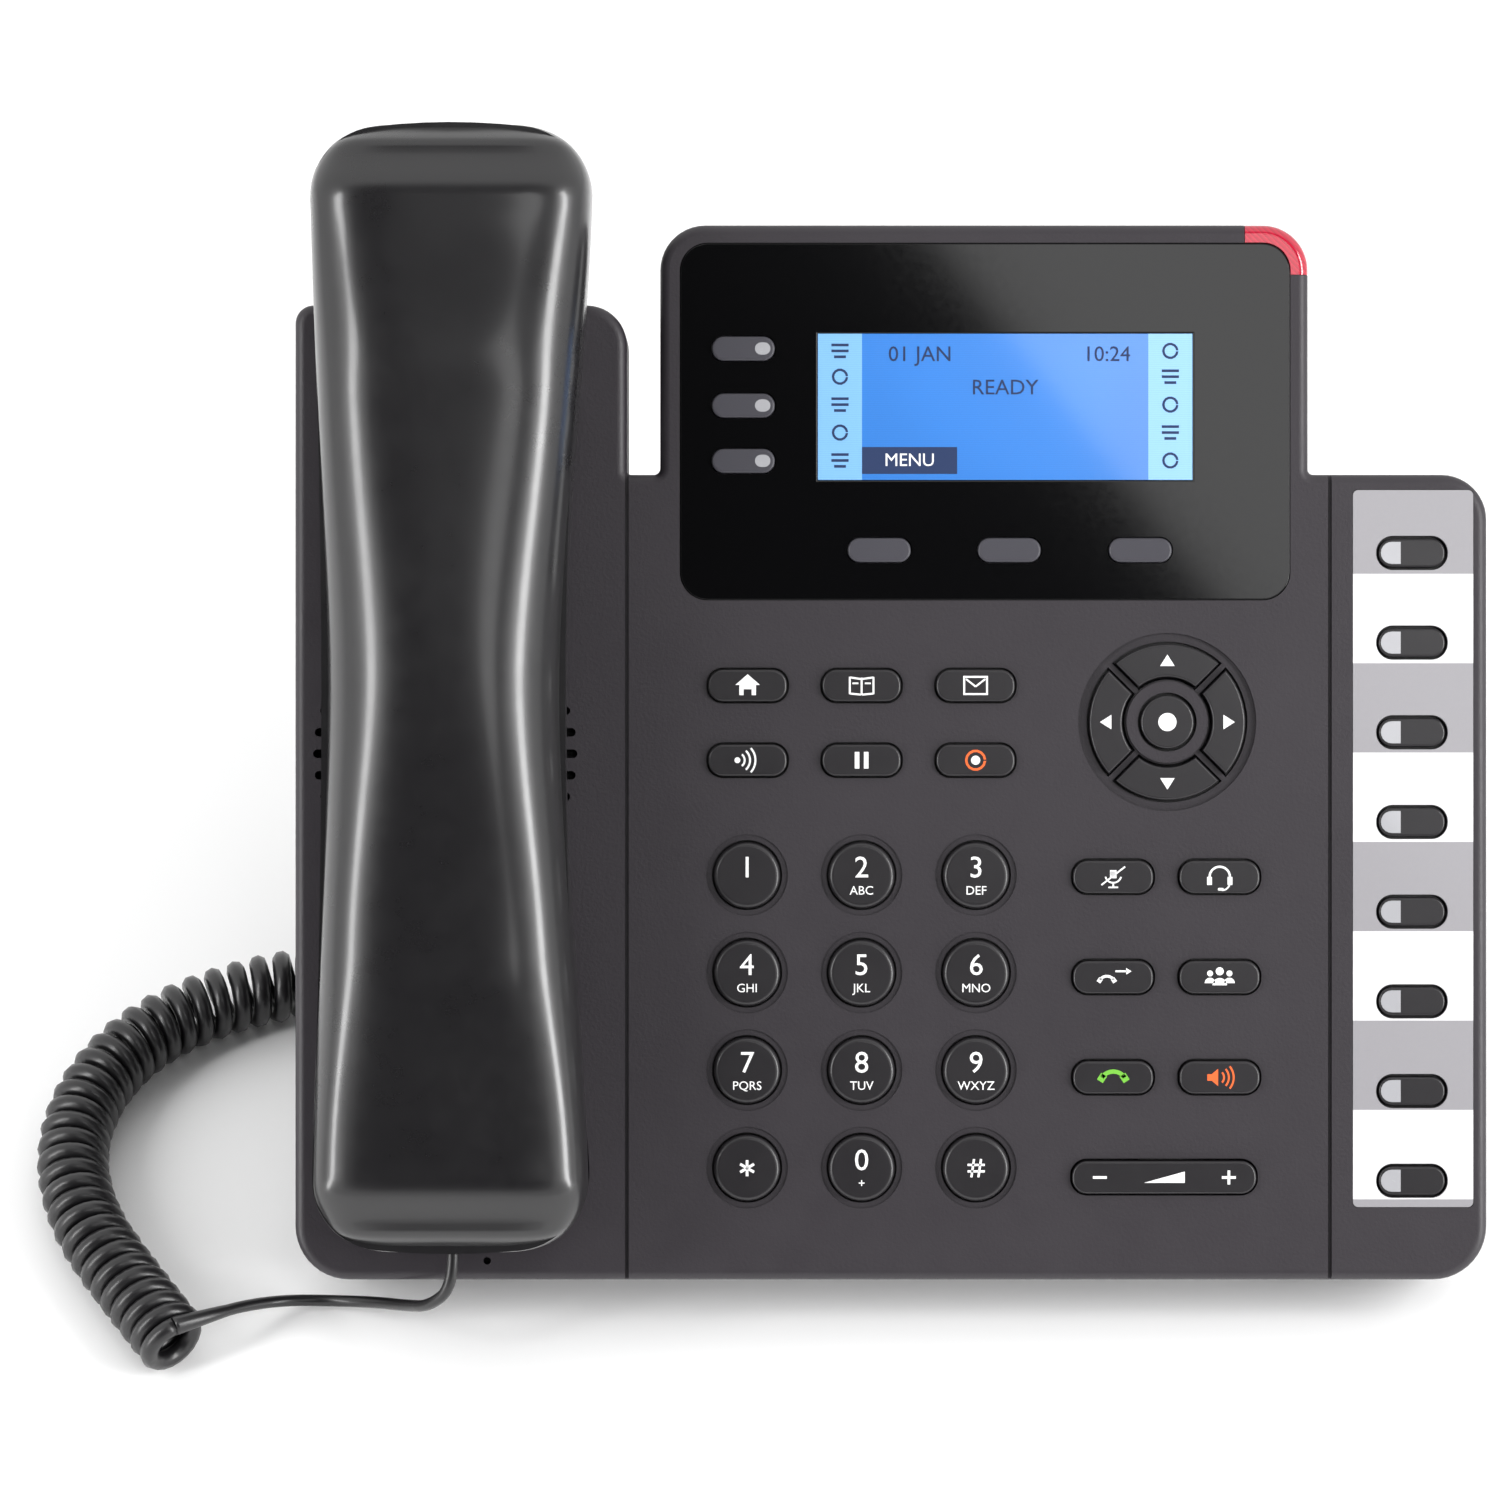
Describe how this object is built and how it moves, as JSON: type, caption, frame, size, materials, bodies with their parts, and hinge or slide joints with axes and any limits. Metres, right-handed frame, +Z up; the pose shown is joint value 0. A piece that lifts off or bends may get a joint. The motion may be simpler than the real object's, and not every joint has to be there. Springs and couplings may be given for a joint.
{
  "type": "desk ip phone",
  "caption": "Tilted desk phone on a stand, with handset and curly cord, backlit display, dial keys, arrow keys and a column of speed-dial keys.",
  "frame": {"origin": "bottom centre of the bounding box, measured without the cord, on the desk", "axes": "+Z up from the desk, the face looks towards -Y, +X to the right as seen from the front"},
  "size_m": [0.2742, 0.1672, 0.1849],
  "materials": {
    "housing": "fine-textured satin",
    "back_housing": "fine texture",
    "window": "high gloss",
    "lcd": "backlit blue display",
    "lamp": "translucent red",
    "label": "matt printed card",
    "mat": "silicone",
    "board": "solder mask",
    "screws": "zinc plated",
    "stand": "fine texture",
    "cord": "semi-gloss vinyl",
    "handset": "satin gloss",
    "handset_inner": "satin",
    "internals": "mixed",
    "display_keys": "satin",
    "speed_keys": "satin",
    "keys": "satin, glossy rim"
  },
  "bodies": {
    "base": {"top_housing": "housing", "bottom_housing": "back_housing", "display_window": "window", "lcd_module": "lcd", "message_lamp": "lamp", "label_strip": "label", "keypad_mat": "mat", "main_board": "board", "housing_screws": "screws", "stand": "stand", "handset_cord_coil": "cord", "handset_cord_leads": "cord"},
    "handset": {"handset_outer_shell": "handset", "handset_inner_shell": "handset_inner", "handset_internals": "internals"},
    "hook_switch": {"hook_switch": "keys"},
    "line_key_1": {"line_key_1": "display_keys"},
    "line_key_2": {"line_key_2": "display_keys"},
    "line_key_3": {"line_key_3": "display_keys"},
    "soft_key_1": {"soft_key_1": "display_keys"},
    "soft_key_2": {"soft_key_2": "display_keys"},
    "soft_key_3": {"soft_key_3": "display_keys"},
    "home_key": {"home_key": "keys"},
    "phonebook_key": {"phonebook_key": "keys"},
    "message_key": {"message_key": "keys"},
    "intercom_key": {"intercom_key": "keys"},
    "hold_key": {"hold_key": "keys"},
    "record_key": {"record_key": "keys"},
    "digit_0_key": {"digit_0_key": "keys"},
    "digit_1_key": {"digit_1_key": "keys"},
    "digit_2_key": {"digit_2_key": "keys"},
    "digit_3_key": {"digit_3_key": "keys"},
    "digit_4_key": {"digit_4_key": "keys"},
    "digit_5_key": {"digit_5_key": "keys"},
    "digit_6_key": {"digit_6_key": "keys"},
    "digit_7_key": {"digit_7_key": "keys"},
    "digit_8_key": {"digit_8_key": "keys"},
    "digit_9_key": {"digit_9_key": "keys"},
    "star_key": {"star_key": "keys"},
    "hash_key": {"hash_key": "keys"},
    "nav_up_key": {"nav_up_key": "keys"},
    "nav_down_key": {"nav_down_key": "keys"},
    "nav_left_key": {"nav_left_key": "keys"},
    "nav_right_key": {"nav_right_key": "keys"},
    "ok_key": {"ok_key": "keys"},
    "mute_key": {"mute_key": "keys"},
    "headset_key": {"headset_key": "keys"},
    "transfer_key": {"transfer_key": "keys"},
    "conference_key": {"conference_key": "keys"},
    "send_key": {"send_key": "keys"},
    "speaker_key": {"speaker_key": "keys"},
    "speed_dial_key_1": {"speed_dial_key_1": "speed_keys"},
    "speed_dial_key_2": {"speed_dial_key_2": "speed_keys"},
    "speed_dial_key_3": {"speed_dial_key_3": "speed_keys"},
    "speed_dial_key_4": {"speed_dial_key_4": "speed_keys"},
    "speed_dial_key_5": {"speed_dial_key_5": "speed_keys"},
    "speed_dial_key_6": {"speed_dial_key_6": "speed_keys"},
    "speed_dial_key_7": {"speed_dial_key_7": "speed_keys"},
    "speed_dial_key_8": {"speed_dial_key_8": "speed_keys"},
    "volume_key": {"volume_key": "keys"}
  },
  "joints": [
    {"name": "handset_lift", "type": "slide", "parent": "base", "child": "handset", "axis": [0, -0.7071, 0.7071], "range_m": [0, 0.06]},
    {"name": "hook_rise", "type": "slide", "parent": "base", "child": "hook_switch", "axis": [0, -0.7071, 0.7071], "range_m": [0, 0.003]},
    {"name": "line_1_press", "type": "slide", "parent": "base", "child": "line_key_1", "axis": [0, 0.7071, -0.7071], "range_m": [0, 0.001], "stiffness_N_per_m": 600},
    {"name": "line_2_press", "type": "slide", "parent": "base", "child": "line_key_2", "axis": [0, 0.7071, -0.7071], "range_m": [0, 0.001], "stiffness_N_per_m": 600},
    {"name": "line_3_press", "type": "slide", "parent": "base", "child": "line_key_3", "axis": [0, 0.7071, -0.7071], "range_m": [0, 0.001], "stiffness_N_per_m": 600},
    {"name": "soft_1_press", "type": "slide", "parent": "base", "child": "soft_key_1", "axis": [0, 0.7071, -0.7071], "range_m": [0, 0.001], "stiffness_N_per_m": 600},
    {"name": "soft_2_press", "type": "slide", "parent": "base", "child": "soft_key_2", "axis": [0, 0.7071, -0.7071], "range_m": [0, 0.001], "stiffness_N_per_m": 600},
    {"name": "soft_3_press", "type": "slide", "parent": "base", "child": "soft_key_3", "axis": [0, 0.7071, -0.7071], "range_m": [0, 0.001], "stiffness_N_per_m": 600},
    {"name": "home_press", "type": "slide", "parent": "base", "child": "home_key", "axis": [0, 0.7071, -0.7071], "range_m": [0, 0.001], "stiffness_N_per_m": 600},
    {"name": "phonebook_press", "type": "slide", "parent": "base", "child": "phonebook_key", "axis": [0, 0.7071, -0.7071], "range_m": [0, 0.001], "stiffness_N_per_m": 600},
    {"name": "message_press", "type": "slide", "parent": "base", "child": "message_key", "axis": [0, 0.7071, -0.7071], "range_m": [0, 0.001], "stiffness_N_per_m": 600},
    {"name": "intercom_press", "type": "slide", "parent": "base", "child": "intercom_key", "axis": [0, 0.7071, -0.7071], "range_m": [0, 0.001], "stiffness_N_per_m": 600},
    {"name": "hold_press", "type": "slide", "parent": "base", "child": "hold_key", "axis": [0, 0.7071, -0.7071], "range_m": [0, 0.001], "stiffness_N_per_m": 600},
    {"name": "record_press", "type": "slide", "parent": "base", "child": "record_key", "axis": [0, 0.7071, -0.7071], "range_m": [0, 0.001], "stiffness_N_per_m": 600},
    {"name": "digit_0_press", "type": "slide", "parent": "base", "child": "digit_0_key", "axis": [0, 0.7071, -0.7071], "range_m": [0, 0.001], "stiffness_N_per_m": 600},
    {"name": "digit_1_press", "type": "slide", "parent": "base", "child": "digit_1_key", "axis": [0, 0.7071, -0.7071], "range_m": [0, 0.001], "stiffness_N_per_m": 600},
    {"name": "digit_2_press", "type": "slide", "parent": "base", "child": "digit_2_key", "axis": [0, 0.7071, -0.7071], "range_m": [0, 0.001], "stiffness_N_per_m": 600},
    {"name": "digit_3_press", "type": "slide", "parent": "base", "child": "digit_3_key", "axis": [0, 0.7071, -0.7071], "range_m": [0, 0.001], "stiffness_N_per_m": 600},
    {"name": "digit_4_press", "type": "slide", "parent": "base", "child": "digit_4_key", "axis": [0, 0.7071, -0.7071], "range_m": [0, 0.001], "stiffness_N_per_m": 600},
    {"name": "digit_5_press", "type": "slide", "parent": "base", "child": "digit_5_key", "axis": [0, 0.7071, -0.7071], "range_m": [0, 0.001], "stiffness_N_per_m": 600},
    {"name": "digit_6_press", "type": "slide", "parent": "base", "child": "digit_6_key", "axis": [0, 0.7071, -0.7071], "range_m": [0, 0.001], "stiffness_N_per_m": 600},
    {"name": "digit_7_press", "type": "slide", "parent": "base", "child": "digit_7_key", "axis": [0, 0.7071, -0.7071], "range_m": [0, 0.001], "stiffness_N_per_m": 600},
    {"name": "digit_8_press", "type": "slide", "parent": "base", "child": "digit_8_key", "axis": [0, 0.7071, -0.7071], "range_m": [0, 0.001], "stiffness_N_per_m": 600},
    {"name": "digit_9_press", "type": "slide", "parent": "base", "child": "digit_9_key", "axis": [0, 0.7071, -0.7071], "range_m": [0, 0.001], "stiffness_N_per_m": 600},
    {"name": "star_press", "type": "slide", "parent": "base", "child": "star_key", "axis": [0, 0.7071, -0.7071], "range_m": [0, 0.001], "stiffness_N_per_m": 600},
    {"name": "hash_press", "type": "slide", "parent": "base", "child": "hash_key", "axis": [0, 0.7071, -0.7071], "range_m": [0, 0.001], "stiffness_N_per_m": 600},
    {"name": "nav_up_press", "type": "slide", "parent": "base", "child": "nav_up_key", "axis": [0, 0.7071, -0.7071], "range_m": [0, 0.001], "stiffness_N_per_m": 600},
    {"name": "nav_down_press", "type": "slide", "parent": "base", "child": "nav_down_key", "axis": [0, 0.7071, -0.7071], "range_m": [0, 0.001], "stiffness_N_per_m": 600},
    {"name": "nav_left_press", "type": "slide", "parent": "base", "child": "nav_left_key", "axis": [0, 0.7071, -0.7071], "range_m": [0, 0.001], "stiffness_N_per_m": 600},
    {"name": "nav_right_press", "type": "slide", "parent": "base", "child": "nav_right_key", "axis": [0, 0.7071, -0.7071], "range_m": [0, 0.001], "stiffness_N_per_m": 600},
    {"name": "ok_press", "type": "slide", "parent": "base", "child": "ok_key", "axis": [0, 0.7071, -0.7071], "range_m": [0, 0.001], "stiffness_N_per_m": 600},
    {"name": "mute_press", "type": "slide", "parent": "base", "child": "mute_key", "axis": [0, 0.7071, -0.7071], "range_m": [0, 0.001], "stiffness_N_per_m": 600},
    {"name": "headset_press", "type": "slide", "parent": "base", "child": "headset_key", "axis": [0, 0.7071, -0.7071], "range_m": [0, 0.001], "stiffness_N_per_m": 600},
    {"name": "transfer_press", "type": "slide", "parent": "base", "child": "transfer_key", "axis": [0, 0.7071, -0.7071], "range_m": [0, 0.001], "stiffness_N_per_m": 600},
    {"name": "conference_press", "type": "slide", "parent": "base", "child": "conference_key", "axis": [0, 0.7071, -0.7071], "range_m": [0, 0.001], "stiffness_N_per_m": 600},
    {"name": "send_press", "type": "slide", "parent": "base", "child": "send_key", "axis": [0, 0.7071, -0.7071], "range_m": [0, 0.001], "stiffness_N_per_m": 600},
    {"name": "speaker_press", "type": "slide", "parent": "base", "child": "speaker_key", "axis": [0, 0.7071, -0.7071], "range_m": [0, 0.001], "stiffness_N_per_m": 600},
    {"name": "speed_dial_1_press", "type": "slide", "parent": "base", "child": "speed_dial_key_1", "axis": [0, 0.7071, -0.7071], "range_m": [0, 0.001], "stiffness_N_per_m": 600},
    {"name": "speed_dial_2_press", "type": "slide", "parent": "base", "child": "speed_dial_key_2", "axis": [0, 0.7071, -0.7071], "range_m": [0, 0.001], "stiffness_N_per_m": 600},
    {"name": "speed_dial_3_press", "type": "slide", "parent": "base", "child": "speed_dial_key_3", "axis": [0, 0.7071, -0.7071], "range_m": [0, 0.001], "stiffness_N_per_m": 600},
    {"name": "speed_dial_4_press", "type": "slide", "parent": "base", "child": "speed_dial_key_4", "axis": [0, 0.7071, -0.7071], "range_m": [0, 0.001], "stiffness_N_per_m": 600},
    {"name": "speed_dial_5_press", "type": "slide", "parent": "base", "child": "speed_dial_key_5", "axis": [0, 0.7071, -0.7071], "range_m": [0, 0.001], "stiffness_N_per_m": 600},
    {"name": "speed_dial_6_press", "type": "slide", "parent": "base", "child": "speed_dial_key_6", "axis": [0, 0.7071, -0.7071], "range_m": [0, 0.001], "stiffness_N_per_m": 600},
    {"name": "speed_dial_7_press", "type": "slide", "parent": "base", "child": "speed_dial_key_7", "axis": [0, 0.7071, -0.7071], "range_m": [0, 0.001], "stiffness_N_per_m": 600},
    {"name": "speed_dial_8_press", "type": "slide", "parent": "base", "child": "speed_dial_key_8", "axis": [0, 0.7071, -0.7071], "range_m": [0, 0.001], "stiffness_N_per_m": 600},
    {"name": "volume_rock", "type": "hinge", "parent": "base", "child": "volume_key", "pos_m": [0.0508, -0.05637, 0.0292], "axis": [0, 0.7071, 0.7071], "range_deg": [-2.5, 2.5], "stiffness_Nm_per_rad": 0.05}
  ],
  "couplings": [
    {"joint": "hook_rise", "follows": "handset_lift", "ratio": 0.05}
  ]
}
